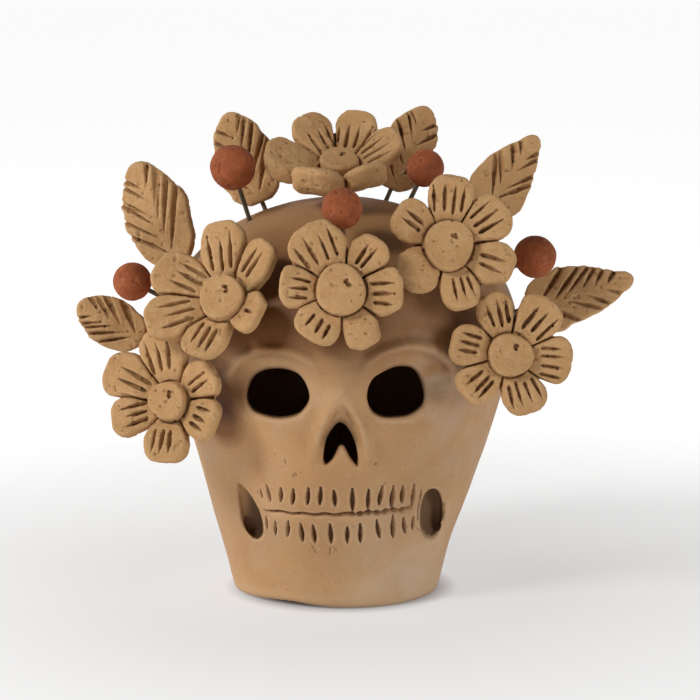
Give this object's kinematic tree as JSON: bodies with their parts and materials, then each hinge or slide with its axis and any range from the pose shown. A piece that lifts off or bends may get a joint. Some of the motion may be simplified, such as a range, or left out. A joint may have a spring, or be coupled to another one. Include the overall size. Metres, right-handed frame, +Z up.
{
  "type": "clay skull figure with flower crown",
  "caption": "Hollow fired-clay skull ornament wearing a crown of clay flowers, veined leaves and red berries held on iron wires",
  "frame": {"origin": "on the table, under the middle of the whole object's box", "axes": "+Z up, the face looks along -Y, +X is on the right of a viewer who faces it"},
  "size_m": [0.1808, 0.118, 0.1592],
  "materials": {
    "burnished_clay": "unglazed tan terracotta, smoothed by hand to a low satin, with paler grey firing marks",
    "sandy_clay": "unglazed tan terracotta, rough, gritty and matte, with pressed tool marks",
    "red_slip_clay": "matte brick-red slip over clay",
    "dark_wire": "darkened plain iron wire, matte"
  },
  "bodies": {
    "skull_and_crown": {"skull_shell": "burnished_clay", "top_flower_petals": "sandy_clay", "top_flower_disc": "sandy_clay", "top_flower_wire": "dark_wire", "brow_flower_petals": "sandy_clay", "brow_flower_disc": "sandy_clay", "brow_flower_wire": "dark_wire", "left_temple_flower_petals": "sandy_clay", "left_temple_flower_disc": "sandy_clay", "left_temple_flower_wire": "dark_wire", "left_cheek_flower_petals": "sandy_clay", "left_cheek_flower_disc": "sandy_clay", "left_cheek_flower_wire": "dark_wire", "right_temple_flower_petals": "sandy_clay", "right_temple_flower_disc": "sandy_clay", "right_temple_flower_wire": "dark_wire", "right_cheek_flower_petals": "sandy_clay", "right_cheek_flower_disc": "sandy_clay", "right_cheek_flower_wire": "dark_wire", "crown_left_leaf": "sandy_clay", "crown_left_leaf_wire": "dark_wire", "crown_right_leaf": "sandy_clay", "crown_right_leaf_wire": "dark_wire", "upper_left_leaf": "sandy_clay", "upper_left_leaf_wire": "dark_wire", "lower_left_leaf": "sandy_clay", "lower_left_leaf_wire": "dark_wire", "upper_right_leaf": "sandy_clay", "upper_right_leaf_wire": "dark_wire", "lower_right_leaf": "sandy_clay", "lower_right_leaf_wire": "dark_wire"},
    "left_berry_on_wire": {"left_berry": "red_slip_clay", "left_berry_wire": "dark_wire"},
    "crown_left_berry_on_wire": {"crown_left_berry": "red_slip_clay", "crown_left_berry_wire": "dark_wire"},
    "brow_berry_on_wire": {"brow_berry": "red_slip_clay", "brow_berry_wire": "dark_wire"},
    "crown_right_berry_on_wire": {"crown_right_berry": "red_slip_clay", "crown_right_berry_wire": "dark_wire"},
    "right_berry_on_wire": {"right_berry": "red_slip_clay", "right_berry_wire": "dark_wire"}
  },
  "joints": [
    {"name": "left_berry_sway", "type": "hinge", "parent": "skull_and_crown", "child": "left_berry_on_wire", "pos_m": [-0.0545, -0.01683, 0.09594], "axis": [-0.1131, 0.9915, 0.0638], "range_deg": [-5, 5], "stiffness_Nm_per_rad": 0.2},
    {"name": "crown_left_berry_sway", "type": "hinge", "parent": "skull_and_crown", "child": "crown_left_berry_on_wire", "pos_m": [-0.03394, -0.00186, 0.12168], "axis": [-0.0756, 0.9642, 0.254], "range_deg": [-5, 5], "stiffness_Nm_per_rad": 0.2},
    {"name": "brow_berry_sway", "type": "hinge", "parent": "skull_and_crown", "child": "brow_berry_on_wire", "pos_m": [-0.00371, -0.0334, 0.11489], "axis": [-0.0129, 0.9469, 0.3214], "range_deg": [-5, 5], "stiffness_Nm_per_rad": 0.2},
    {"name": "crown_right_berry_sway", "type": "hinge", "parent": "skull_and_crown", "child": "crown_right_berry_on_wire", "pos_m": [0.01539, -0.00126, 0.12507], "axis": [0.0981, 0.9718, 0.2143], "range_deg": [-5, 5], "stiffness_Nm_per_rad": 0.2},
    {"name": "right_berry_sway", "type": "hinge", "parent": "skull_and_crown", "child": "right_berry_on_wire", "pos_m": [0.03772, -0.02061, 0.10463], "axis": [0.1158, 0.9917, 0.0558], "range_deg": [-5, 5], "stiffness_Nm_per_rad": 0.2}
  ]
}
